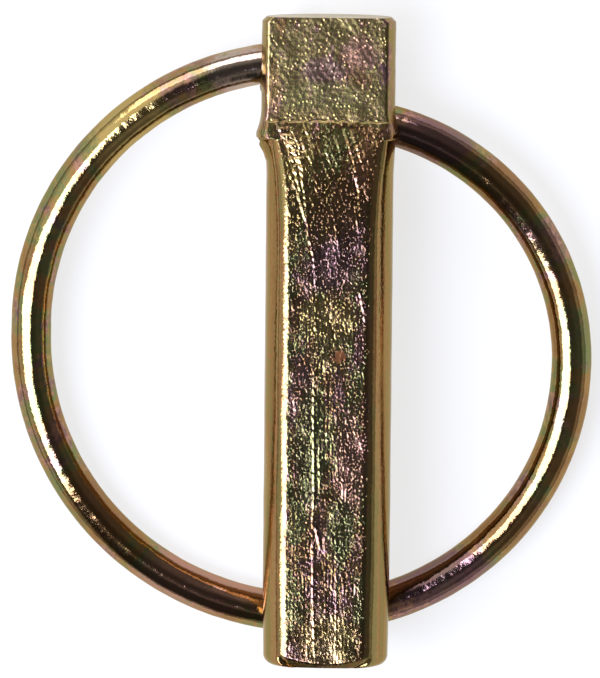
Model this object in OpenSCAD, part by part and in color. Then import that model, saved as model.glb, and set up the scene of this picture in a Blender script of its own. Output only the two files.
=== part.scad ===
// Linch pin with a sprung ring, in millimetres.
//
// The pin is one piece of round steel bar: a short head with a flat face and a flared rim
// at its foot, and a shank with one long flat. The head's face lies deeper than the flat,
// and from a low step at its foot the surface runs out in an arc to the flat. The ring is
// one length of spring wire. Its two ends turn in two blind holes behind the pin's axis,
// one in each side of the head and at two heights, so the wire flexes as the ring swings
// over the head and it snaps shut against the shank. The whole lies on its back with the
// ring shut: it touches the floor at the top of the head and where the ring crosses
// behind the shank.
//
// Each piece is first made upright: the pin's axis is Z, the middle of the head's top
// is the origin, X runs across and the flat faces -Y. lie_down() then lays it to rest,
// with the head towards +Y and the flat up.

/* [Shank] */
// Length of the pin, from the top of the head to the end of the tail
pin_l = 56; // [50:0.1:80]
// Diameter of the shank
shank_d = 11; // [9.5:0.1:13]
// Length of the tapered lead-in at the tail
lead_l = 8.5; // [6:0.1:14]
// How much thinner than the shank the lead-in ends, across its diameter
lead_taper = 0.2; // [0.05:0.01:0.8]
// Radius of the rounded edge round the tail
tail_round = 0.85; // [0.3:0.05:1.6]

/* [Head] */
// Distance from the head's top to the underside of its rim
head_l = 10.4; // [9.5:0.1:14]
// How far the head stands out from the shank, all round
head_out = 0.28; // [0.12:0.01:1]
// How far the flared rim at the head's foot stands out from the shank
rim_out = 0.72; // [0.4:0.01:1.6]
// Height of the flare that leads out to the rim
flare_l = 2.2; // [1:0.1:4]
// Height of the rim's upright edge
rim_h = 0.4; // [0.2:0.05:1]
// How far the head sits to one side of the shank
head_shift = 0.2; // [0.02:0.01:0.3]
// How far the root of the shank, right under the rim, stands out from the shank
root_out = 0.16; // [0.05:0.01:0.2]
// Length of the tapered root of the shank
root_l = 3.1; // [2.5:0.1:5]
// Bevel round the head's top
head_bevel = 0.4; // [0.1:0.05:1]

/* [Flat] */
// Depth of the flat below the round of the shank
flat_depth = 1.5; // [0.8:0.01:1.8]
// How much deeper than the flat the head's face lies
face_drop = 1.5; // [0.8:0.01:1.8]
// Distance from the head's top to the step at the foot of its face
step_z = 9; // [7.5:0.1:10.2]
// Height of the step
step_h = 0.1; // [0.05:0.01:0.4]
// Length of the run-out, from the step to where its arc is level with the flat
run_l = 11; // [7:0.5:18]

/* [Ring] */
// Diameter of the ring's wire
wire_d = 3.5; // [3:0.05:3.8]
// Distance from the head's top to the middle of the upper hole, in the left side
upper_hole = 4.25; // [3.6:0.05:4.7]
// Distance from the head's top to the middle of the lower hole, in the right side
lower_hole = 9.35; // [8.6:0.05:10.5]
// How far the holes lie behind the pin's axis
hole_back = 1.5; // [0:0.1:1.8]
// Gap all round between a wire that is centred in its hole and the hole's wall
hole_gap = 0.35; // [0.3:0.01:0.45]
// Depth of each hole, from the head's side
hole_depth = 4.8; // [4.2:0.1:5.2]
// Gap between the wire's end and the bottom of its hole
end_gap = 0.3; // [0.1:0.05:0.6]
// Bevel round the mouth of each hole
mouth_bevel = 0.2; // [0.1:0.05:0.5]
// How far a straight wire end lies above the middle of its hole
end_lift = 0.25; // [0.2:0.01:0.28]
// Length of the straight wire end in the upper, left hole
left_end = 1.75; // [1:0.05:3]
// Length of the straight wire end in the lower, right hole
right_end = 1.7; // [1:0.05:2]
// Radius of the bends, in the holes' mouths, that lead from the ends into the ring
bend_r = 10; // [8:0.5:11]
// Angle that the left end is bent through
left_bend = 3.8; // [3:0.2:10]
// Angle that the right end is bent through
right_bend = 15.4; // [8:0.2:16]
// Length of the straight stretch at the ring's left side
left_side = 1; // [0.1:0.1:4]
// Length of the straight stretch at the ring's right side
right_side = 0.1; // [0.1:0.1:4]
// How far the ring's crossing lies to the left of the pin's axis
ring_shift = 1.45; // [0:0.05:2]
// How far the tail stands out past the ring's wire
tail_out = 1.9; // [1.3:0.05:5]
// Gap between the shut ring's wire and the back of the shank
shut_gap = 0.1; // [0.05:0.01:0.3]

/* [Hidden] */
$fn = 96;
// How far a cutter runs past the surface that it cuts
past = 1;
// How far the run-out's arc would rise above the flat, so that the two cross
run_lap = 0.01;
// How much thinner than the wire its ends are, in radius, and the angle by which a bend
// laps back into the wire
end_thinner = 0.02;
end_lap = 2;
// Step in degrees, and number of steps to each side, of the search for a true angle
angle_step = 0.0005;
angle_tries = 100;
// Steps that a rounded edge of the pin is turned in
edge_steps = 8;
steel_colour = [0.56, 0.50, 0.30];
wire_colour = [0.62, 0.54, 0.34];

LEFT = -1;
RIGHT = 1;

shank_r = shank_d / 2;
head_r = shank_r + head_out;
rim_r = shank_r + rim_out;
wire_r = wire_d / 2;
end_r = wire_r - end_thinner;
hole_r = wire_r + hole_gap;
flat_y = shank_r - flat_depth;
lead_z = pin_l - lead_l;

// The flare is an arc that leaves the head's side upright and reaches the rim.
flare_w = rim_r - head_r;
flare_r = (flare_l * flare_l + flare_w * flare_w) / (2 * flare_w);
flare_z = head_l - rim_h - flare_l;

// The head's face, and the run-out's arc from the top of the step to the flat
face_y = flat_y - face_drop;
step_y = face_y + step_h;
run_rise = flat_y + run_lap - step_y;
run_r = (run_l * run_l + run_rise * run_rise) / (2 * run_rise);

// The ring crosses behind the shank, just clear of its tapered back.
cross_z = pin_l - tail_out - wire_r;
taper_at_cross = lead_taper / 2 * (cross_z - lead_z) / (lead_l - tail_round);
cross_y = shank_r - taper_at_cross + wire_r + shut_gap;

// The part rests on the ring's crossing and on the first edge of the head that the floor
// meets, so it leans by the smaller of the two edges' angles.
function lean(edge_r, edge_z) =
    let (along = cross_z - edge_z, out = cross_y - edge_r)
    atan2(out, along) + asin(wire_r / norm([along, out]));
rest_lean = min(lean(head_r, head_bevel), lean(rim_r, head_l - rim_h));
rests_on_top = lean(head_r, head_bevel) < lean(rim_r, head_l - rim_h);
floor_r = rests_on_top ? head_r : rim_r;
floor_z = rests_on_top ? head_bevel : head_l - rim_h;
axis_lift = floor_r * cos(rest_lean) - floor_z * sin(rest_lean);

// Each half of the ring lies in a plane of its own, from the crossing to the wire's end
// in its hole: a quarter turn, a straight side, an upper arc that stops short of a
// quarter turn by the bend, the bend, and the straight end. Lengths are kept to the
// micrometre, so that these meet face to face.
function to_micron(length) = round(1000 * length) / 1000;

// The halves lean by two angles and share one disc at the crossing. A drawn angle has a
// sine and a cosine of six digits, and the wire keeps its exact thickness only where
// their squares add up to one. This is the angle near the wanted one where they do.
function six_digits(x) =
    let (unit = pow(10, floor(log(abs(x))) - 5))
    unit * round(x / unit);
function miss(a) = abs(pow(six_digits(sin(a)), 2) + pow(six_digits(cos(a)), 2) - 1);
function true_angle(a) =
    let (
        near = [for (i = [-angle_tries : angle_tries]) a + i * angle_step],
        misses = [for (b = near) miss(b)]
    )
    near[search(min(misses), misses)[0]];

function mouth_x(side) = head_r - side * head_shift;
function end_x(side) = mouth_x(side) - hole_depth + end_gap;
function end_z(hole_z) = hole_z - end_lift;
function half_lean(hole_z) =
    true_angle(atan2(cross_y - hole_back, cross_z - end_z(hole_z)));
function half_rise(hole_z) = norm([cross_z - end_z(hole_z), cross_y - hole_back]);
function end_reach(side, end_l) = end_x(side) + end_l + side * ring_shift;
// The two arcs are tangent to what they join, and this is the upper one that then
// brings the wire's end to its hole, across and up.
function upper_r(side, hole_z, end_l, bend, side_l) =
    to_micron((half_rise(hole_z) - end_reach(side, end_l) - side_l
        - bend_r * (1 + sin(bend) - cos(bend))) / (1 - sin(bend) + cos(bend)));
function lower_r(side, hole_z, end_l, bend, side_l) =
    let (high_r = upper_r(side, hole_z, end_l, bend, side_l))
    to_micron(end_reach(side, end_l) + high_r - (high_r - bend_r) * sin(bend));
left_r = lower_r(LEFT, upper_hole, left_end, left_bend, left_side);
right_r = lower_r(RIGHT, lower_hole, right_end, right_bend, right_side);

// The origin is on the floor, under the middle of the part's box.
left_x = -ring_shift - left_r - wire_r;
right_x = -ring_shift + right_r + wire_r;
top_y = face_y * sin(rest_lean);
tail_r = shank_r - lead_taper / 2;
tail_y = -(pin_l - tail_round) * cos(rest_lean)
    - (tail_r - tail_round) * sin(rest_lean) - tail_round;

module lie_down() {
    translate([-(left_x + right_x) / 2, -(top_y + tail_y) / 2, axis_lift])
        rotate([-90 - rest_lean, 0, 0])
            children();
}

// Points of an arc in the plane of a turned profile, with angles from +X
function arc(middle, radius, from, to) = [
    for (i = [0 : edge_steps])
        let (a = from + (to - from) * i / edge_steps)
        middle + radius * [cos(a), sin(a)]
];

module head() {
    flare_end = asin(flare_l / flare_r);
    profile = concat(
        [[0, 0], [head_r - head_bevel, 0], [head_r, -head_bevel]],
        arc([head_r + flare_r, -flare_z], flare_r, 180, 180 + flare_end),
        [[rim_r, -head_l], [0, -head_l]]
    );
    translate([-head_shift, 0, 0])
        rotate_extrude()
            polygon(profile);
}

module shank() {
    inside_z = head_l - rim_h / 2;
    root_r = shank_r + root_out;
    profile = concat(
        [[0, -inside_z], [root_r, -inside_z], [root_r, -head_l]],
        [[shank_r, -head_l - root_l], [shank_r, -lead_z]],
        arc([tail_r - tail_round, tail_round - pin_l], tail_round, 0, -90),
        [[0, -pin_l]]
    );
    rotate_extrude()
        polygon(profile);
}

// What is cut away in front: down to the flat, the head's face, and the run-out's arc
module front_cutter() {
    wide = 2 * (rim_r + head_shift + past);
    translate([-wide / 2, -flat_y - wide, -pin_l - past])
        cube([wide, wide, pin_l + past]);
    translate([-wide / 2, -face_y - wide, -step_z])
        cube([wide, wide, step_z + past]);
    difference() {
        translate([-wide / 2, -step_y - wide, -step_z - run_l])
            cube([wide, wide, run_l + past]);
        translate([0, run_r - run_lap - flat_y, -step_z - run_l])
            rotate([0, 90, 0])
                cylinder(h = wide + 2 * past, r = run_r, center = true, $fn = 360);
    }
}

// A blind hole in one side of the head, with a bevelled mouth
module ring_hole(side, hole_z) {
    translate([0, hole_back, -hole_z])
        rotate([0, side * 90, 0]) {
            translate([0, 0, mouth_x(side) - hole_depth])
                cylinder(h = hole_depth + rim_out + past, r = hole_r);
            translate([0, 0, mouth_x(side) - mouth_bevel])
                cylinder(h = rim_out + past, r1 = hole_r, r2 = hole_r + rim_out + past);
        }
}

module pin() {
    color(steel_colour)
        lie_down()
            difference() {
                union() {
                    head();
                    shank();
                }
                front_cutter();
                ring_hole(LEFT, upper_hole);
                ring_hole(RIGHT, lower_hole);
            }
}

// An arc of wire in the XY plane, round the origin, between two angles from +X
module wire_arc(radius, from, to, r = wire_r) {
    rotate_extrude(angle = to - from, start = from)
        translate([radius, 0])
            circle(r = r, $fn = 48);
}

module straight_wire(length, r = wire_r) {
    cylinder(h = length, r = r, $fn = 48);
}

// The bend and the straight end, a hair thinner than the wire that the bend runs out of
module wire_end(middle, bend, end_l) {
    translate([middle.x, middle.y, 0])
        wire_arc(bend_r, 90 - bend - end_lap, 90, end_r);
    translate([middle.x, middle.y + bend_r, 0])
        rotate([0, -90, 0])
            straight_wire(end_l, end_r);
}

// One half of the ring, drawn on the right with the crossing at the origin
module half_ring(side, hole_z, end_l, bend, side_l) {
    low_r = lower_r(side, hole_z, end_l, bend, side_l);
    high_r = upper_r(side, hole_z, end_l, bend, side_l);
    upper_middle = [low_r - high_r, low_r + side_l];
    bend_middle = upper_middle + (high_r - bend_r) * [sin(bend), cos(bend)];
    translate([-ring_shift, cross_y, -cross_z])
        rotate([90 + half_lean(hole_z), 0, 0])
            mirror([side == LEFT ? 1 : 0, 0, 0]) {
                translate([0, low_r, 0])
                    wire_arc(low_r, -90, 0);
                translate([low_r, low_r, 0])
                    rotate([-90, 0, 0])
                        straight_wire(side_l);
                translate([upper_middle.x, upper_middle.y, 0])
                    wire_arc(high_r, 0, 90 - bend);
                wire_end([to_micron(bend_middle.x), to_micron(bend_middle.y)], bend, end_l);
            }
}

module spring_ring() {
    color(wire_colour)
        lie_down() {
            half_ring(LEFT, upper_hole, left_end, left_bend, left_side);
            half_ring(RIGHT, lower_hole, right_end, right_bend, right_side);
        }
}

pin();
spring_ring();
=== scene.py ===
import math

import bpy
import numpy as np
from mathutils import Matrix, Quaternion, Vector


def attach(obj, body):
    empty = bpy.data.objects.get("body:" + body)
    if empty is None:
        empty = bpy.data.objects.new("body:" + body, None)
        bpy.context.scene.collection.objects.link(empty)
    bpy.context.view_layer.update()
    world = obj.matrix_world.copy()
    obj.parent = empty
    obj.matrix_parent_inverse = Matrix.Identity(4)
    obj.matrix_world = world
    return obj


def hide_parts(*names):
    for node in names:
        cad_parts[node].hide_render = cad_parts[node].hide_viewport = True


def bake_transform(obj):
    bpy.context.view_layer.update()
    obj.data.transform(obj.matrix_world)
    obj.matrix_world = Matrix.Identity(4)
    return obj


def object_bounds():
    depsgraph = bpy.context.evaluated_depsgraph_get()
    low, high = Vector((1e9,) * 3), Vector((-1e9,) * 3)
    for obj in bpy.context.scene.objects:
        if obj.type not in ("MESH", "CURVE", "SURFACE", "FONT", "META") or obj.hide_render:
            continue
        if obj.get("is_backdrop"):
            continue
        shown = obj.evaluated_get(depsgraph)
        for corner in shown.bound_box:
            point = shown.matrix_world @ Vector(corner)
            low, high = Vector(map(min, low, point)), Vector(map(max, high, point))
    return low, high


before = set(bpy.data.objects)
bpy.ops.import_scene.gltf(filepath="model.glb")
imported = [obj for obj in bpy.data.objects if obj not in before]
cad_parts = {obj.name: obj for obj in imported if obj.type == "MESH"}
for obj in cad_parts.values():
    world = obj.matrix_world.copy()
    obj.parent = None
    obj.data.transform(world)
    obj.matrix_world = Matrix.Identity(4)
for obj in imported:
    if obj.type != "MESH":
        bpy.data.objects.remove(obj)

cad_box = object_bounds()
scene = bpy.context.scene

# A linch pin with a sprung ring. Each piece is worked out upright, in millimetres: the
# pin's axis is Z, the head's top is the origin, distances down the pin are counted as
# `down`, X runs across and the face of the pin looks towards -Y. lying() lays it on the
# floor, in metres.

# ------------------------------------------------------------------ sizes, in millimetres
MM = 0.001
PIN_L = 56
SHANK_R = 5.5
LEAD_L, LEAD_TAPER, TAIL_ROUND = 8.5, 0.2, 0.85
HEAD_L, HEAD_R, HEAD_SHIFT, HEAD_BEVEL = 10.4, 5.78, 0.2, 0.4
RIM_R, RIM_H, FLARE_L = 6.22, 0.4, 2.2
ROOT_R, ROOT_L = 5.66, 3.1
# The flat lies 0.1 lower than the solid's, so that its turned edge stays within the box
FLAT_Y, FACE_Y = 3.9, 2.5
STEP_Z, STEP_H, RUN_L = 8.9, 0.1, 11
WIRE_R = 1.75
HOLE_R, HOLE_DEPTH, HOLE_BACK, MOUTH_BEVEL = 2.1, 4.8, 1.5, 0.2
END_GAP, END_LIFT, BEND_R = 0.3, 0.25, 10
RING_SHIFT, TAIL_OUT, SHUT_GAP = 1.45, 1.9, 0.1
LEFT, RIGHT = -1, 1
UPPER_HOLE, LOWER_HOLE = 4.25, 9.35
# Each half of the ring: its side, its hole's place down the head, its straight end, its
# bend in degrees and its straight side
HALVES = ((LEFT, UPPER_HOLE, 1.75, 3.8, 1), (RIGHT, LOWER_HOLE, 1.7, 15.4, 0.1))
# How the part lies: its lean off the floor, and where the head's top is
REST_LEAN = math.radians(3.590801)
HEAD_TOP = np.array((2.315, 28.01006, 5.7436))


def lying(points):
    """Points of the upright part, in millimetres, where they lie, in metres."""
    across, deep, up = np.moveaxis(np.asarray(points, float), -1, 0)
    s, c = math.sin(REST_LEAN), math.cos(REST_LEAN)
    return (np.stack((across, up * c - deep * s, -deep * c - up * s), -1) + HEAD_TOP) * MM


def lying_way(way):
    """A direction of the upright part as it lies."""
    turned = (lying(way) - lying((0, 0, 0))) / MM
    return Vector(turned).normalized()


# ------------------------------------------------------------------ forms
def smooth(value, low, high):
    """0 below low, 1 above high, and a smooth rise between."""
    t = np.clip((value - low) / (high - low), 0, 1)
    return t * t * (3 - 2 * t)


def hump(value, middle, width):
    """A bump of height 1 at the middle, which fades over the width to each side."""
    return np.exp(-(((value - middle) / width) ** 2))


def ripple(points, size, seed, waves=40):
    """Smooth random heights, mostly between -2 and 2, with bumps of about that size."""
    draw = np.random.default_rng(seed)
    ways = draw.normal(size=(waves, points.shape[-1]))
    ways /= np.linalg.norm(ways, axis=1, keepdims=True)
    ways *= 2 * math.pi / size * draw.uniform(0.6, 1.5, (waves, 1))
    phases = draw.uniform(0, 2 * math.pi, waves)
    return np.sin(points @ ways.T + phases).sum(-1) * math.sqrt(2 / waves)


def skin(name, rows, marks):
    """A closed mesh over rows of points that go round, with the last point of each end's
    row drawn together in a fan. marks are named values, one for each point."""
    count, across = rows.shape[:2]
    points = np.vstack((rows.reshape(-1, 3), rows[0].mean(0), rows[-1].mean(0)))
    start = np.arange(count - 1)[:, None] * across + np.arange(across)
    turn = np.arange(count - 1)[:, None] * across + (np.arange(across) + 1) % across
    quads = np.stack((start, turn, turn + across, start + across), -1).reshape(-1, 4)
    here, there = np.arange(across), (np.arange(across) + 1) % across
    first, last = count * across, count * across + 1
    foot = (count - 1) * across
    fans = [(first, int(b), int(a)) for a, b in zip(here, there)]
    fans += [(last, int(foot + a), int(foot + b)) for a, b in zip(here, there)]
    mesh = bpy.data.meshes.new(name)
    mesh.from_pydata(lying(points).tolist(), [], quads.tolist() + fans)
    mesh.polygons.foreach_set("use_smooth", np.ones(len(mesh.polygons), bool))
    for mark, values in marks.items():
        flat = values.reshape(count * across, -1)
        full = np.vstack((flat, values[0].reshape(across, -1).mean(0),
                          values[-1].reshape(across, -1).mean(0)))
        kind = "FLOAT_VECTOR" if full.shape[1] == 3 else "FLOAT"
        made = mesh.attributes.new(mark, kind, "POINT")
        made.data.foreach_set("vector" if full.shape[1] == 3 else "value", full.ravel())
    mesh.update()
    piece = bpy.data.objects.new(name, mesh)
    scene.collection.objects.link(piece)
    return piece


# ------------------------------------------------------------------ the pin
FACE_STEPS, EDGE_STEPS, ROUND_STEPS, MARGIN_STEPS = 88, 8, 52, 4
# Half the width that the face's even points cover, down the pin
FACE_DOWN, FACE_INNER = (0, 8.5, 12, 14, 20, 56), (4.5, 4.5, 3.8, 3.2, 2.95, 2.85)
CAP_STEPS = 14
ROW_GAP = 0.1
# The edges along the flat are rounded, less so along the head's face: radii down the pin
EDGE_DOWN, EDGE_R = (8.8, 9.0, 10.4, 11.8, 14), (0.35, 0.55, 0.85, 1.25, 1.35)
# The flat is turned a little to the left
FLAT_TURN = math.radians(2.6)
# The burr at the upper hole and the lap of metal under the rim: how far they stand out
BURR_H, BURR_W = 0.16, 0.2
LAP_H, LAP_L = 0.62, 2.1
# The flat's fall at the tail: its start before the end, its slope and its greatest depth
FALL_START, FALL_SLOPE, FALL_MOST = 0.32, 0.75, 0.45


def face_depth(down):
    """How far the face lies in front of the pin's axis."""
    step_y = FACE_Y + STEP_H
    rise = FLAT_Y - step_y
    run_r = (RUN_L ** 2 + rise ** 2) / (2 * rise)
    left = np.clip(STEP_Z + RUN_L - down, 0, RUN_L)
    run_out = FLAT_Y - run_r + np.sqrt(run_r ** 2 - left ** 2)
    return FACE_Y + (run_out - FACE_Y) * smooth(down, STEP_Z, STEP_Z + 0.12)


def round_side(down):
    """The middle, across, and the radius of the pin's round side."""
    if down <= HEAD_L:
        flare_w = RIM_R - HEAD_R
        flare_r = (FLARE_L ** 2 + flare_w ** 2) / (2 * flare_w)
        out = min(max(down - HEAD_L + RIM_H + FLARE_L, 0), FLARE_L)
        bevel = max(HEAD_BEVEL - down, 0)
        return -HEAD_SHIFT, HEAD_R + flare_r - math.sqrt(flare_r ** 2 - out ** 2) - bevel
    root = max(1 - (down - HEAD_L) / ROOT_L, 0)
    lead = max(down - PIN_L + LEAD_L, 0) / (LEAD_L - TAIL_ROUND)
    radius = SHANK_R + (ROOT_R - SHANK_R) * root - LEAD_TAPER / 2 * min(lead, 1)
    in_round = max(down - PIN_L + TAIL_ROUND, 0)
    return 0, radius - TAIL_ROUND + math.sqrt(TAIL_ROUND ** 2 - in_round ** 2)


def section(down, middle, radius, depth, edge_r):
    """Points round the pin at one height, and which way each of them looks. They start at
    the face's left edge and run across it, round the right edge and round the back."""
    depth = depth + middle * math.tan(FLAT_TURN)
    depth *= math.cos(FLAT_TURN)
    depth = min(depth, radius - 0.02)
    edge_r = min(edge_r, depth - 0.1)
    edge_x = math.sqrt((radius - edge_r) ** 2 - (depth - edge_r) ** 2)
    end = math.atan2(depth - edge_r, edge_x)
    # The face's middle keeps its points in line where the edges jump, as under the rim
    inner = min(np.interp(down, FACE_DOWN, FACE_INNER), 0.93 * edge_x)
    near = np.linspace(-edge_x, -inner, MARGIN_STEPS, endpoint=False)
    middle_part = np.linspace(-inner, inner, FACE_STEPS - 2 * MARGIN_STEPS + 1)
    face_x = np.concatenate((near, middle_part, -near[:0:-1]))
    face = np.stack((face_x, np.full(FACE_STEPS, -depth)), -1)
    edge = np.linspace(-math.pi / 2, -end, EDGE_STEPS, endpoint=False)
    back = np.linspace(-end, math.pi + end, ROUND_STEPS, endpoint=False)
    other = np.linspace(math.pi + end, 3 * math.pi / 2, EDGE_STEPS, endpoint=False)
    angles = np.concatenate((np.full(FACE_STEPS, -math.pi / 2), edge, back, other))
    looks = np.stack((np.cos(angles), np.sin(angles)), -1)
    places = looks * radius
    places[:FACE_STEPS] = face
    for part, side in ((slice(FACE_STEPS, FACE_STEPS + EDGE_STEPS), RIGHT),
                       (slice(-EDGE_STEPS, None), LEFT)):
        places[part] = (side * edge_x, edge_r - depth) + edge_r * looks[part]
    s, c = math.sin(FLAT_TURN), math.cos(FLAT_TURN)
    turn = np.array(((c, -s), (s, c)))
    return places @ turn + (middle, 0), looks @ turn


def pin_heights():
    """The rows' distances down the pin, closer at its top, step, rim and tail."""
    top = HEAD_BEVEL * np.array((0.05, 0.1, 0.25, 0.5, 0.75, 1))
    head = np.arange(HEAD_BEVEL + ROW_GAP, STEP_Z - 0.2, ROW_GAP)
    step = np.arange(STEP_Z - 0.2, STEP_Z + 0.3, ROW_GAP / 3)
    flare = np.arange(STEP_Z + 0.3 + ROW_GAP, HEAD_L - 0.01, ROW_GAP)
    shank = np.arange(HEAD_L + ROW_GAP, PIN_L - TAIL_ROUND, ROW_GAP)
    tail = PIN_L - TAIL_ROUND * (1 - np.sin(np.linspace(0, math.pi / 2, 12)))
    return np.concatenate((top, head, step, flare, [HEAD_L], shank, tail))


# Score marks on the face: half width and height of the ridge, then the places, across and
# down, that it runs through
SCORES = (
    (0.16, 0.050, (-4.7, 8.7), (-4.0, 10.3), (-3.2, 11.7)),
    (0.15, 0.060, (-4.45, 8.7), (-3.55, 10.6), (-2.45, 12.6), (-2.2, 14.5), (-1.9, 17.0)),
    (0.10, 0.050, (-4.1, 8.7), (-3.2, 10.6), (-2.2, 12.4), (-1.9, 13.4)),
    (0.09, 0.040, (-3.7, 8.8), (-2.8, 10.8), (-1.9, 12.6)),
    (0.11, 0.050, (-3.7, 11.0), (-2.9, 13.0), (-2.5, 15.4), (-2.1, 17.4)),
    (0.09, 0.045, (-3.3, 11.0), (-2.5, 13.4), (-2.1, 15.6)),
    (0.13, 0.045, (-3.6, 13.0), (-2.7, 15.2), (-1.9, 17.6), (-1.6, 18.6)),
    (0.10, 0.035, (-3.3, 12.6), (-2.3, 15.4), (-1.7, 17.0)),
    (0.09, 0.030, (-1.9, 18.2), (-1.3, 20.6), (-1.1, 23.5)),
    (0.10, 0.040, (1.2, 9.4), (2.1, 12.5), (2.5, 14.7), (2.7, 17.8)),
    (0.10, 0.045, (1.6, 8.8), (3.0, 13.2)),
    (0.09, 0.040, (0.9, 8.8), (1.7, 11.0)),
    (0.09, 0.045, (3.3, 8.7), (4.3, 11.5)),
    (0.08, 0.040, (4.0, 8.7), (4.6, 10.4)),
    (0.08, 0.030, (-1.9, 9.0), (-1.2, 11.4)),
    (0.08, 0.030, (3.3, 16.0), (3.9, 19.4)),
    (0.09, 0.040, (2.6, 23.2), (3.3, 26.5)),
    (0.07, 0.024, (-0.1, 15.0), (0.3, 16.2), (0.6, 18.4), (1.0, 20.8)),
    (0.05, 0.014, (1.3, 13.4), (-0.8, 16.2)),
    (0.09, 0.034, (-1.2, 29.2), (-1.2, 35), (-1.1, 41.4), (-1.2, 44)),
    (0.10, 0.036, (-1.2, 44), (-1.1, 50), (-0.9, 55.3)),
    (0.07, 0.030, (-0.7, 36.2), (-0.6, 41.0)),
    (0.12, 0.045, (-1.0, 43.6), (-0.5, 45.7)),
    (0.06, 0.013, (0.8, 44.6), (0.9, 50), (0.9, 55.0)),
    (0.06, 0.012, (-0.1, 44.6), (0.0, 55.0)),
)


# Tints of yellow passivated zinc
BROWN = (0.27, 0.145, 0.062)
RUST = (0.15, 0.048, 0.018)
GOLD = (0.45, 0.325, 0.115)
OLIVE = (0.26, 0.205, 0.078)
GREEN = (0.18, 0.205, 0.085)
PURPLE = (0.21, 0.115, 0.125)
PINK = (0.43, 0.22, 0.165)
TAN = (0.33, 0.195, 0.075)
SIDE_OLIVE = (0.23, 0.18, 0.065)
SIDE_TAN = (0.32, 0.195, 0.075)
SIDE_BROWN = (0.30, 0.15, 0.06)
# Bare metal of the sheared top, made paler with a painted reflection of the white floor
SHEARED_AND_SHINE = (0.68, 0.65, 0.56)
EDGE_TINT = (0.8, 0.72, 0.55, 1)

# Patches of tint on the face: the middle, across and down, the reach, and the tint
FACE_PATCHES = (
    ((2.3, 3.0), (1.6, 1.6), PINK),
    ((-0.6, 4.6), (2.2, 1.3), PURPLE),
    ((-0.3, 7.0), (4.0, 1.6), (0.23, 0.21, 0.075)),
    ((-0.3, 8.4), (4.6, 0.7), (0.33, 0.24, 0.085)),
    ((-4.9, 6.5), (0.7, 3.0), TAN),
    ((3.4, 12.2), (1.5, 3.2), (0.40, 0.20, 0.10)),
    ((-2.8, 12.0), (1.5, 3.0), GOLD),
    ((0.2, 16.0), (2.6, 3.0), BROWN),
    ((0.2, 21.5), (2.6, 2.2), PURPLE),
    ((0.0, 25.9), (2.8, 2.2), GOLD),
    ((0.9, 29.0), (0.6, 0.7), RUST),
    ((-0.2, 28.9), (1.6, 1.9), OLIVE),
    ((-1.6, 37.0), (1.4, 6.0), GREEN),
    ((2.0, 38.0), (1.5, 5.0), PINK),
    ((1.2, 44.0), (1.3, 3.0), GREEN),
    ((0.2, 53.6), (2.6, 2.4), GOLD),
)


# The same on the ring
RING_PATCHES = (
    ((-7.5, 4.8), (3.2, 2.4), (0.48, 0.36, 0.30)),
    ((-17.0, 10.5), (4.0, 4.5), GOLD),
    ((-10.0, 49.0), (7.0, 3.5), PINK),
    ((-19.0, 42.0), (3.5, 4.0), BROWN),
    ((9.0, 10.5), (4.0, 2.6), PURPLE),
    ((15.5, 14.5), (3.5, 3.0), BROWN),
    ((10.0, 49.0), (5.5, 3.0), PURPLE),
    ((17.0, 44.5), (4.0, 3.0), BROWN),
    ((22.8, 28.0), (2.4, 3.0), GREEN),
    ((23.2, 35.0), (2.4, 3.0), BROWN),
)


def fine_scores():
    """Short fine marks in the form of SCORES: slanted ones below the step, and upright
    ones further down."""
    draw = np.random.default_rng(11)
    for _ in range(130):
        across = draw.choice((-3.1, 3.2, 0)) + draw.normal(0, 1.0)
        down = STEP_Z + 5.5 * draw.uniform(0, 1) ** 1.6
        length, slant = draw.uniform(0.8, 3.4), draw.uniform(0.3, 0.5)
        height = draw.choice((-1, 1)) * draw.uniform(0.008, 0.026)
        end = (across + slant * length, down + length)
        yield draw.uniform(0.055, 0.1), height, (across, down), end
    for _ in range(150):
        across, down = draw.uniform(-3.4, 3.4), draw.uniform(14, 54)
        length = draw.uniform(0.5, 2.4)
        slant = 0.16 * float(smooth(-down, -30, -15)) + draw.normal(0, 0.02)
        height = draw.choice((-1, 1)) * draw.uniform(0.005, 0.013)
        end = (across + slant * length, down + length)
        yield draw.uniform(0.05, 0.08), height, (across, down), end


def score_height(across, down):
    """Height of the score marks at each point; down has one value for each row."""
    height = np.zeros_like(across)
    for width, rise, *route in (*SCORES, *fine_scores()):
        stops = np.array(route)
        first, last = stops[0, 1], stops[-1, 1]
        rows = np.flatnonzero((down > first) & (down < last))
        if not len(rows):
            continue
        middle = np.interp(down[rows], stops[:, 1], stops[:, 0])
        fade = np.sqrt(np.sin(math.pi * (down[rows] - first) / (last - first)))
        broken = np.clip(0.7 + 0.4 * ripple(down[rows, None], 0.7, int(first * 10)), 0, 1.4)
        rise_there = rise * fade * broken * (1 + 0.8 * (1 - smooth(down[rows], 11, 15)))
        height[rows] += rise_there[:, None] * hump(across[rows], middle[:, None], width)
    return height


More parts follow.
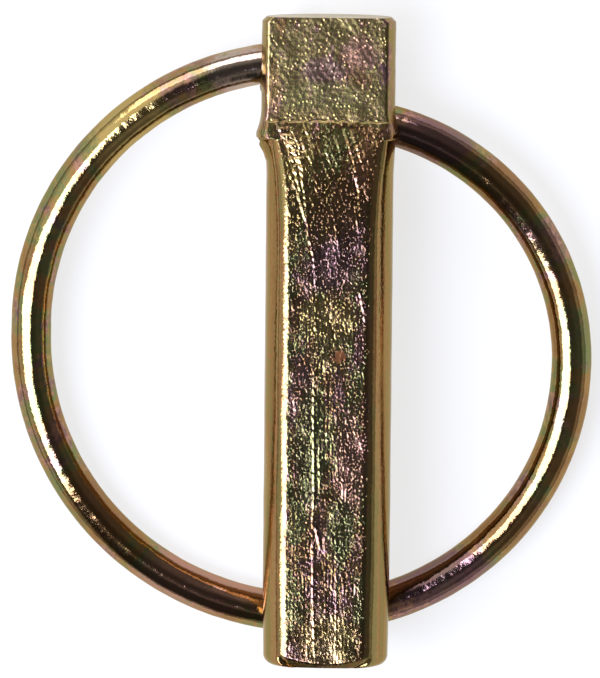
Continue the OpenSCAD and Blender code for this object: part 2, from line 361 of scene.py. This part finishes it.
def make_pin():
    heights = pin_heights()
    shapes = []
    for down in heights:
        middle, radius = round_side(down)
        edge_r = float(np.interp(down, EDGE_DOWN, EDGE_R))
        shapes.append(section(down, middle, radius, face_depth(down), edge_r))
    places = np.array([shape[0] for shape in shapes])
    looks = np.array([shape[1] for shape in shapes])
    down = np.broadcast_to(heights[:, None], places.shape[:2])
    on_head = 1 - smooth(down, HEAD_L - 0.6, HEAD_L + 0.1)
    on_face = smooth(-looks[..., 1], 0.9 - 1.05 * on_head, 0.999 - 0.85 * on_head)
    across = places[..., 0]
    spots = np.stack((places[..., 0], places[..., 1], -down), -1)

    # The face: score marks, a rough grain on the head and a finer one on the flat
    above = 1 - smooth(down, STEP_Z - 0.1, STEP_Z + 0.3)
    lift = score_height(across, heights)
    lift += above * 0.0035 * ripple(spots, 0.45, 1)
    lift += (1 - above) * 0.0016 * ripple(spots * (1, 1, 0.2), 0.3, 2)
    lift += 0.008 * ripple(spots, 2.2, 3)
    # A ragged bright ridge along the step, in the middle of the face
    ridge = hump(across, -0.1, 1.7) * (0.7 + 0.3 * ripple(across[..., None], 0.5, 4))
    lift += 0.05 * ridge * hump(down, STEP_Z + 0.02, 0.07)
    lift *= on_face
    # The flat falls away before the tail's end, sooner at its sides
    brink = PIN_L - FALL_START - 0.05 * across ** 2
    fall = np.clip(down - brink, 0, None)
    fall *= smooth(down, STEP_Z, PIN_L - 2) * smooth(-looks[..., 1], 0.7, 0.95)
    on_face = on_face * (1 - smooth(fall, 0, 0.06))
    lift -= np.minimum(FALL_SLOPE * fall, FALL_MOST)
    # The round side: faint lines along it and shallow waves, all inwards to stay in the box
    angle = np.arctan2(looks[..., 1], looks[..., 0])
    wrapped = np.stack((np.cos(angle), np.sin(angle), -down / 40), -1) * SHANK_R
    lift += (1 - on_face) * 0.004 * (ripple(wrapped, 1.1, 5) + ripple(spots, 3.5, 6) - 4.5)
    # A burr round the foot of the upper hole's mouth, and a lap of metal under the rim
    off = np.hypot(places[..., 1] - HOLE_BACK, down - UPPER_HOLE)
    leftward = smooth(-looks[..., 0], 0.6, 0.8)
    foot = smooth(down, UPPER_HOLE + 0.8, UPPER_HOLE + 2)
    lift += leftward * foot * BURR_H * hump(off, HOLE_R + BURR_W, BURR_W)
    under = np.clip((down - HEAD_L) / LAP_L, 0, 1)
    lap = LAP_H * (1 - under ** 1.4) * (down > HEAD_L + 0.01)
    lap *= hump(angle, -math.pi + 0.12, 0.2)
    lift += lap * (0.9 + 0.1 * ripple(spots, 0.8, 7))
    places = places + looks * lift[..., None]

    # For the finish, the step's line is not quite straight
    waver = 0.05 * ripple(across[..., None], 0.9, 8) * hump(down, STEP_Z, 0.35) * on_face
    sides = np.stack((places[..., 0], places[..., 1], -(down + waver)), -1)
    ends = []
    for row, seed in ((sides[0], 9), (sides[-1], 10)):
        share = np.linspace(0.04, 1, CAP_STEPS, endpoint=False)[:, None, None]
        centre = row.mean(0)
        cap = centre + (row - centre) * share
        dent = (1 - share[..., 0] ** 8) * (0.005 * np.abs(ripple(cap, 4, seed))
                                           + 0.0012 * np.abs(ripple(cap * (0.15, 1, 0), 0.8, seed)))
        cap[..., 2] += dent * (-1 if row is sides[0] else 1)
        ends.append(cap)
    rows = np.concatenate((ends[0], sides, ends[1][::-1]))
    still = np.zeros((CAP_STEPS, rows.shape[1]))
    marks = {
        "place": rows,
        "face": np.concatenate((still, on_face, still)),
    }
    return skin("pin_steel", rows, marks)


def hole_cutter(side, hole):
    """The space of one blind hole, with the bevel of its mouth. Its faces look inwards."""
    mouth = HEAD_R - side * HEAD_SHIFT
    stations = ((mouth - HOLE_DEPTH, 0.3), (mouth - HOLE_DEPTH, HOLE_R),
                (mouth - MOUTH_BEVEL, HOLE_R), (mouth + 1.5, HOLE_R + 1.5 + MOUTH_BEVEL))
    turn = np.linspace(0, 2 * math.pi, 64, endpoint=False) * -side
    rows = np.array([
        np.stack((np.full(64, side * x), HOLE_BACK + r * np.cos(turn), r * np.sin(turn) - hole), -1)
        for x, r in stations
    ])
    return skin("hole_space", rows, {})


def cut_holes(piece):
    """Puts the pin through a cut with the two holes' spaces and leaves its mesh without
    them. That turns the pin's faces outwards, but it opens no hole while the spaces' own
    faces look inwards."""
    cutters = [hole_cutter(LEFT, UPPER_HOLE), hole_cutter(RIGHT, LOWER_HOLE)]
    for cutter in cutters:
        cut = piece.modifiers.new("hole", "BOOLEAN")
        cut.operation, cut.solver, cut.object = "DIFFERENCE", "EXACT", cutter
    shown = piece.evaluated_get(bpy.context.evaluated_depsgraph_get())
    cut_mesh = bpy.data.meshes.new_from_object(shown)
    whole = piece.data
    piece.modifiers.clear()
    piece.data = cut_mesh
    bpy.data.meshes.remove(whole)
    for cutter in cutters:
        bpy.data.objects.remove(cutter)


# ------------------------------------------------------------------ the ring
RING_GAP = 0.16
WIRE_STEPS = 56


def half_path(side, hole, end_l, bend, side_l):
    """The wire's middle line from the crossing to its end in the hole."""
    cross_z = PIN_L - TAIL_OUT - WIRE_R
    taper = LEAD_TAPER / 2 * (cross_z - PIN_L + LEAD_L) / (LEAD_L - TAIL_ROUND)
    cross_y = SHANK_R - taper + WIRE_R + SHUT_GAP
    back, rise = cross_y - HOLE_BACK, cross_z - hole + END_LIFT
    length = math.hypot(back, rise)
    reach = HEAD_R - side * HEAD_SHIFT - HOLE_DEPTH + END_GAP + end_l + side * RING_SHIFT
    bend = math.radians(bend)
    s, c = math.sin(bend), math.cos(bend)
    high_r = (length - reach - side_l - BEND_R * (1 + s - c)) / (1 - s + c)
    low_r = reach + high_r - (high_r - BEND_R) * s
    high = (low_r - high_r, low_r + side_l)
    mid = (high[0] + (high_r - BEND_R) * s, high[1] + (high_r - BEND_R) * c)
    quarter = math.pi / 2
    spans = ((0, low_r, low_r, -quarter, 0), (*high, high_r, 0, quarter - bend),
             (*mid, BEND_R, quarter - bend, quarter))
    line = []
    for x, up, radius, first, last in spans:
        steps = max(int(radius * (last - first) / RING_GAP), 4)
        turn = np.linspace(first, last, steps)
        line += list(zip(x + radius * np.cos(turn), up + radius * np.sin(turn)))
    for share in np.linspace(0, 1, 12)[1:]:
        line.append((mid[0] - end_l * share, mid[1] + BEND_R))
    line = np.array(line)
    out, up = line[:, 0], line[:, 1]
    lean_s, lean_c = back / length, rise / length
    return np.stack((side * out - RING_SHIFT, cross_y - up * lean_s, up * lean_c - cross_z), -1)


def make_ring():
    left, right = (half_path(*half) for half in HALVES)
    line = np.vstack((left[::-1], right[1:]))
    gaps = np.linalg.norm(np.diff(line, axis=0), axis=1)
    line = line[np.concatenate(([True], gaps > 0.02))]
    run = np.concatenate(([0], np.cumsum(np.linalg.norm(np.diff(line, axis=0), axis=1))))
    along = np.gradient(line, run, axis=0)
    along /= np.linalg.norm(along, axis=1, keepdims=True)
    # `front` looks out of the ring's plane towards the face of the pin, `out` away from
    # the ring's middle
    plane = np.cross(left[-1] - left[0], right[-1] - left[0])
    front = np.broadcast_to(plane / np.linalg.norm(plane), along.shape)
    front = front * np.where(front[:, 1:2] > 0, -1, 1)
    front = front - (front * along).sum(1, keepdims=True) * along
    front /= np.linalg.norm(front, axis=1, keepdims=True)
    out = np.cross(front, along)
    middle = line.mean(0)
    out *= np.sign(((line[len(line) // 4] - middle) * out[len(line) // 4]).sum())
    turn = np.linspace(0, 2 * math.pi, WIRE_STEPS, endpoint=False)
    looks = out[:, None] * np.cos(turn)[:, None] + front[:, None] * np.sin(turn)[:, None]
    spots = line[:, None] + looks * WIRE_R
    dent = 0.006 * (ripple(spots, 2.6, 21) - 2) + 0.0025 * (ripple(spots, 0.8, 22) - 2)
    # Fine draw lines along the wire
    dent += 0.0015 * (ripple(np.stack((np.cos(turn), np.sin(turn)), -1) * WIRE_R, 0.35, 23) - 2)
    edge = np.minimum(run, run[-1] - run)
    dent -= 0.25 * (1 - smooth(edge, 0, 0.3))[:, None]
    rows = spots + looks * dent[..., None]
    # The points go round so that the faces look outwards
    if np.cross(rows[5, 1] - rows[5, 0], along[5]) @ looks[5, 0] > 0:
        rows = rows[:, ::-1]
    return skin("ring_wire", rows, {"place": rows})


# ------------------------------------------------------------------ finishes
class Tone:
    """One value of a finish. Arithmetic on tones adds the nodes that work it out."""

    def __init__(self, finish, socket):
        self.finish, self.socket = finish, socket

    def maths(self, operation, *values):
        return self.finish.node("Math", {"operation": operation}, values)

    def __add__(self, other):
        return self.maths("ADD", self, other)

    def __sub__(self, other):
        return self.maths("SUBTRACT", self, other)

    def __rsub__(self, other):
        return self.maths("SUBTRACT", other, self)

    def __mul__(self, other):
        return self.maths("MULTIPLY", self, other)

    __radd__, __rmul__ = __add__, __mul__

    def larger(self, other):
        return self.maths("MAXIMUM", self, other)

    def between(self, low, high):
        """0 below low, 1 above high, and a smooth rise between."""
        settings = {"interpolation_type": "SMOOTHSTEP"}
        return self.finish.node("MapRange", settings, {0: self, 1: low, 2: high})

    def blend(self, first, second):
        """The first colour where this tone is 0 and the second where it is 1."""
        settings = {"data_type": "RGBA"}
        return self.finish.node("Mix", settings, {0: self, 6: first, 7: second}, 2)

    def colours(self, *stops):
        return self.finish.node("ValToRGB", {"stops": stops}, {0: self})


class Finish:
    """A material whose nodes are added one by one."""

    def __init__(self, name):
        self.material = bpy.data.materials.new(name)
        self.material.use_nodes = True
        self.use_tree(self.material.node_tree)

    def use_tree(self, tree):
        self.tree = tree
        self.tree.nodes.clear()

    @classmethod
    def of_tree(cls, tree):
        """The same for a tree of nodes that isn't a material's, such as the room's."""
        made = cls.__new__(cls)
        made.use_tree(tree)
        return made

    def node(self, kind, settings=None, sockets=(), output=0):
        """Adds one node: its settings are set first, then its sockets by name or number."""
        made = self.tree.nodes.new("ShaderNode" + kind)
        for name, value in (settings or {}).items():
            if name == "stops":
                set_stops(made.color_ramp, value)
            else:
                setattr(made, name, value)
        pairs = sockets.items() if isinstance(sockets, dict) else enumerate(sockets)
        for key, value in pairs:
            if isinstance(value, Tone):
                self.tree.links.new(value.socket, made.inputs[key])
            else:
                made.inputs[key].default_value = value
        return Tone(self, made.outputs[output]) if len(made.outputs) else None

    def mark(self, name, output=2):
        """A value stored in the mesh: output 1 is its vector and 2 its number."""
        return self.node("Attribute", {"attribute_name": name}, output=output)

    def stretched(self, place, scale):
        return self.node("VectorMath", {"operation": "MULTIPLY"}, (place, scale))

    def noise(self, place, size, detail=2.0, rough=0.5, warp=0.0):
        """Noise with bumps of about that size, in the unit of the place."""
        sockets = {"Vector": place, "Scale": 1 / size, "Detail": detail,
                   "Roughness": rough, "Distortion": warp}
        return self.node("TexNoise", {}, sockets)

    def dots(self, place, gap, size):
        """Round bumps of that size, about that far apart: 1 in their middles."""
        sockets = {"Vector": place, "Scale": 1 / gap}
        return (1 - self.node("TexVoronoi", {}, sockets) * (2 * gap / size)).larger(0)

    def down(self, place):
        """How far down the pin a place is."""
        return self.node("SeparateXYZ", {}, (place,), 2) * -1

    def near(self, way, middle):
        """How closely a direction agrees with the one given: 1 where they are the same."""
        middle = tuple(Vector(middle).normalized())
        return self.node("VectorMath", {"operation": "DOT_PRODUCT"}, (way, middle), 1)

    def patch(self, place, middle, reach, speck):
        """1 in a patch of the face with a ragged edge, and 0 outside it."""
        share = self.stretched(place, (1 / reach[0], 0, 1 / reach[1]))
        centre = (middle[0] / reach[0], 0, -middle[1] / reach[1])
        away = self.node("VectorMath", {"operation": "DISTANCE"}, (share, centre), 1)
        return (1.6 - away - speck * 1.2).between(-0.15, 0.35)

    def metal(self, colour, rough, height):
        """The plated metal: colour and roughness, and heights in millimetres."""
        bump = self.node("Bump", {}, {"Strength": 1, "Distance": MM, "Height": height})
        sockets = {"Base Color": colour, "Metallic": 1, "Roughness": rough, "Normal": bump,
                   "Specular Tint": EDGE_TINT}
        shader = self.node("BsdfPrincipled", {}, sockets)
        self.node("OutputMaterial", {}, {"Surface": shader})
        return self.material


def set_stops(ramp, stops):
    """Gives a ramp its stops: places from 0 to 1, each with a red, green and blue."""
    while len(ramp.elements) > 1:
        ramp.elements.remove(ramp.elements[-1])
    for number, (place, colour) in enumerate(stops):
        stop = ramp.elements[0] if number == 0 else ramp.elements.new(place)
        stop.position = place
        stop.color = (*colour, 1)


def pin_finish():
    finish = Finish("plated_steel")
    place = finish.mark("place", 1)
    face = finish.mark("face")
    below = finish.down(place).between(STEP_Z - 0.1, STEP_Z + 0.4)
    speck = finish.noise(place, 0.5, 3, 0.65)
    fleck = finish.noise(place, 0.27, 1, 0.5)
    film = finish.noise(finish.stretched(place, (1, 1, 0.3)), 2.4, 3, 0.6, 0.6) * 0.7 + speck * 0.3
    blush = finish.noise(finish.stretched(place, (1, 1, 0.4)), 1.9, 3, 0.7, 0.4)
    on_head = film.colours((0.38, SIDE_BROWN), (0.46, SIDE_OLIVE), (0.53, OLIVE),
                           (0.57, SIDE_OLIVE), (0.66, SIDE_TAN))
    on_flat = film.colours((0.38, PURPLE), (0.47, BROWN), (0.54, GREEN), (0.58, OLIVE),
                           (0.68, TAN))
    on_face = below.blend(on_head, on_flat)
    on_face = blush.between(0.54, 0.62).blend(on_face, speck.colours((0.45, PURPLE), (0.6, PINK)))
    for middle, reach, tint in FACE_PATCHES:
        on_face = (finish.patch(place, middle, reach, speck) * 0.7).blend(on_face, (*tint, 1))
    flecks = fleck.colours((0.36, OLIVE), (0.44, OLIVE), (0.54, GOLD), (0.60, PINK), (0.68, PURPLE))
    on_face = (fleck.between(0.5, 0.62) * 0.2 + 0.15).blend(on_face, flecks)
    rust = finish.patch(place, (0.9, 29.0), (0.62, 0.68), speck * 2 + fleck - 1)
    on_face = (rust * 0.85).blend(on_face, (*RUST, 1))
    band = finish.noise(finish.stretched(place, (1, 1, 0.06)), 1.5, 2, 0.5)
    on_side = (band * 0.75 + speck * 0.25).colours((0.41, SIDE_OLIVE), (0.48, SIDE_TAN),
                                                   (0.55, SIDE_BROWN), (0.60, SIDE_OLIVE))
    on_side = (fleck.between(0.5, 0.65) * 0.35).blend(on_side, (*BROWN, 1))
    colour = face.blend(on_side, on_face)
    # The sheared top is brighter
    # The top is paler: the sheared end's bare metal, and a painted reflection of the white floor
    # that it catches at a grazing angle
    colour = finish.down(place).between(0.03, 0.0).blend(colour, (*SHEARED_AND_SHINE, 1))
    # The head is peppered with small bumps. The flat's grain is finer and lies in clusters,
    # and a fainter grain runs on over the round side.
    sparse = finish.noise(place, 0.7, 2, 0.5).between(0.46, 0.62)
    pepper = finish.dots(place, 0.36, 0.26) * sparse * 0.034
    pepper = pepper + finish.noise(place, 0.24, 2, 0.5) * 0.009
    cluster = finish.noise(finish.stretched(place, (1, 1, 0.5)), 1.3, 2, 0.6).between(0.42, 0.62)
    grain = finish.noise(finish.stretched(place, (1, 1, 0.8)), 0.21, 1, 0.5)
    ground = grain * 0.010 + (cluster * 0.75 + 0.25) * grain.between(0.59, 0.73) * 0.025
    height = face * (1 - rust * 0.6) * (below * ground + (1 - below) * pepper) + fleck * 0.006
    height = height + (1 - face) * grain * 0.010
    rough = 0.11 + speck * 0.04 + (1 - below) * 0.09 + rust * 0.15
    return finish.metal(colour, rough, height)


def ring_finish():
    finish = Finish("plated_wire")
    place = finish.mark("place", 1)
    speck = finish.noise(place, 0.6, 3, 0.65)
    film = finish.noise(place, 3.6, 3, 0.6, 0.5) * 0.8 + speck * 0.2
    blush = finish.noise(place, 4.4, 3, 0.6, 0.5) * 0.85 + speck * 0.15
    colour = film.colours((0.36, BROWN), (0.46, TAN), (0.51, OLIVE), (0.55, GREEN),
                          (0.60, OLIVE), (0.68, GOLD))
    pinks = speck.colours((0.45, PURPLE), (0.6, PINK))
    colour = (blush.between(0.50, 0.58) * 0.8).blend(colour, pinks)
    for middle, reach, tint in RING_PATCHES:
        colour = (finish.patch(place, middle, reach, speck) * 0.8).blend(colour, (*tint, 1))
    fine = finish.noise(place, 0.26, 2, 0.5)
    height = fine * 0.009 + speck * 0.002
    rough = 0.07 + speck * 0.04
    return finish.metal(colour, rough, height)


# ------------------------------------------------------------------ the studio
# The room's brightness by height: 0 is the horizon and 1 is overhead
ROOM = ((0, 0.42), (0.2, 0.46), (0.3, 0.6), (0.45, 0.36), (0.8, 0.36), (0.9, 0.2),
        (0.96, 0.08), (1, 0.05))
# The middles of its dark patch and its pale one
DARK_WAY, PALE_WAY = (-0.3, -0.75, 0.59), (-0.62, 0.36, 0.70)


def pale_floor():
    finish = Finish("pale_floor")
    matt = finish.node("BsdfDiffuse", {}, {"Color": (0.95, 0.95, 0.95, 1)})
    bright = finish.node("Emission", {}, {"Color": (1, 1, 1, 1), "Strength": 1})
    seen = [finish.node("LightPath", output=name)
            for name in ("Is Camera Ray", "Is Glossy Ray", "Is Transmission Ray")]
    share = seen[0].larger(seen[1]).larger(seen[2]) * 0.75
    mixed = finish.node("MixShader", {}, (share, matt, bright))
    finish.node("OutputMaterial", {}, {"Surface": mixed})
    half = 3.0
    mesh = bpy.data.meshes.new("floor")
    mesh.from_pydata([(-half, -half, 0), (half, -half, 0), (half, half, 0), (-half, half, 0)],
                     [], [(0, 1, 2, 3)])
    mesh.materials.append(finish.material)
    floor = bpy.data.objects.new("floor", mesh)
    scene.collection.objects.link(floor)
    floor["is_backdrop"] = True


def surroundings():
    """A plain room: a dark ceiling over the part, paler walls, brighter on the left, with
    a bright patch towards the head's left, a dark one towards the tail's left, and dim
    high up on the right."""
    world = bpy.data.worlds.new("studio")
    world.use_nodes = True
    room = Finish.of_tree(world.node_tree)
    way = room.node("TexCoord", output="Generated")
    left = room.node("SeparateXYZ", {}, (way,), 0) * -1
    height = room.node("SeparateXYZ", {}, (way,), 2)
    grey = height.colours(*[(place, (level, level * 0.98, level * 0.95)) for place, level in ROOM])
    dark = room.near(way, DARK_WAY).between(0.84, 0.93)
    dim = left.between(-0.15, -0.4) * height.between(0.35, 0.5) * 0.65
    dark = dark.larger(dim)
    glow = left.between(0.5, 0.75) * height.between(0.1, 0.3) * 0.5
    pale = room.near(way, PALE_WAY).between(0.89, 0.97)
    glow = glow.larger(pale * 1.4)
    grey = dark.blend(grey, (0.04, 0.04, 0.04, 1))
    added = {"data_type": "RGBA", "blend_type": "ADD"}
    lit = room.node("Mix", added, {0: glow, 6: grey, 7: (1, 1, 1, 1)}, 2)
    sky = room.node("Background", {}, {"Color": lit})
    room.node("OutputWorld", {}, {"Surface": sky})
    scene.world = world


def soft_box(name, way, size, radiance, tint=(1, 1, 1), roll=0):
    """A rectangular light a metre away that looks at the part from one way. Its first
    size runs round the part and its second one up, before the roll in degrees."""
    data = bpy.data.lights.new(name, "AREA")
    data.shape = "RECTANGLE"
    data.size, data.size_y = size
    data.color = tint
    data.energy = radiance * math.pi * size[0] * size[1]
    light = bpy.data.objects.new(name, data)
    way = Vector(way).normalized()
    light.location = way
    turn = way.to_track_quat("Z", "Y") @ Quaternion((0, 0, 1), math.radians(roll))
    light.rotation_euler = turn.to_euler()
    scene.collection.objects.link(light)


# The camera's place round the upright part in millimetres, its tilts in radians, its lens
VIEW_FROM = (-2.4463, -800, 35.1489)
VIEW_PITCH, VIEW_ROLL = 0.0786116, 0.0095984
VIEW_LENS, VIEW_SENSOR = 329.3, 24


def place_camera():
    """Looks at the pin's face from 0.8 m, from a little above its head's end."""
    ahead = Vector((0, math.cos(VIEW_PITCH), -math.sin(VIEW_PITCH)))
    right = Vector((1, 0, 0))
    up = right.cross(ahead)
    level = math.cos(VIEW_ROLL) * right + math.sin(VIEW_ROLL) * up
    upright = math.cos(VIEW_ROLL) * up - math.sin(VIEW_ROLL) * right
    turn = Matrix([lying_way(way) for way in (level, upright, -ahead)]).transposed()
    data = bpy.data.cameras.new("view")
    data.sensor_fit = "VERTICAL"
    data.sensor_height = VIEW_SENSOR
    data.lens = VIEW_LENS
    data.clip_start, data.clip_end = 0.05, 20
    camera = bpy.data.objects.new("view", data)
    spot = Vector(lying(VIEW_FROM))
    camera.matrix_world = Matrix.Translation(spot) @ turn.to_4x4()
    scene.collection.objects.link(camera)
    scene.camera = camera


# ------------------------------------------------------------------ putting it together
pin = make_pin()
cut_holes(pin)
pin.data.materials.clear()
pin.data.materials.append(pin_finish())
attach(pin, "pin")
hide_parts("pin")

ring = make_ring()
ring.data.materials.append(ring_finish())
# The mouths of the two holes, as the pin lies
mouths = lying(((-HEAD_R - HEAD_SHIFT, HOLE_BACK, -UPPER_HOLE),
                (HEAD_R - HEAD_SHIFT, HOLE_BACK, -LOWER_HOLE)))
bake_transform(ring)
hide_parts("spring_ring")

pale_floor()
surroundings()
soft_box("side_light", (-0.49, -0.205, 0.847), (0.60, 0.71), 9.5, (0.88, 0.95, 1.25), 12)
soft_box("head_light", (-0.20, 0.85, 0.49), (1.15, 0.50), 3.4, (0.94, 0.98, 1.15))
place_camera()
scene.view_settings.view_transform = "Standard"

sizes = {"cad": cad_box, "visual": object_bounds()}
sizes = {name: [[float(v) for v in corner] for corner in box] for name, box in sizes.items()}
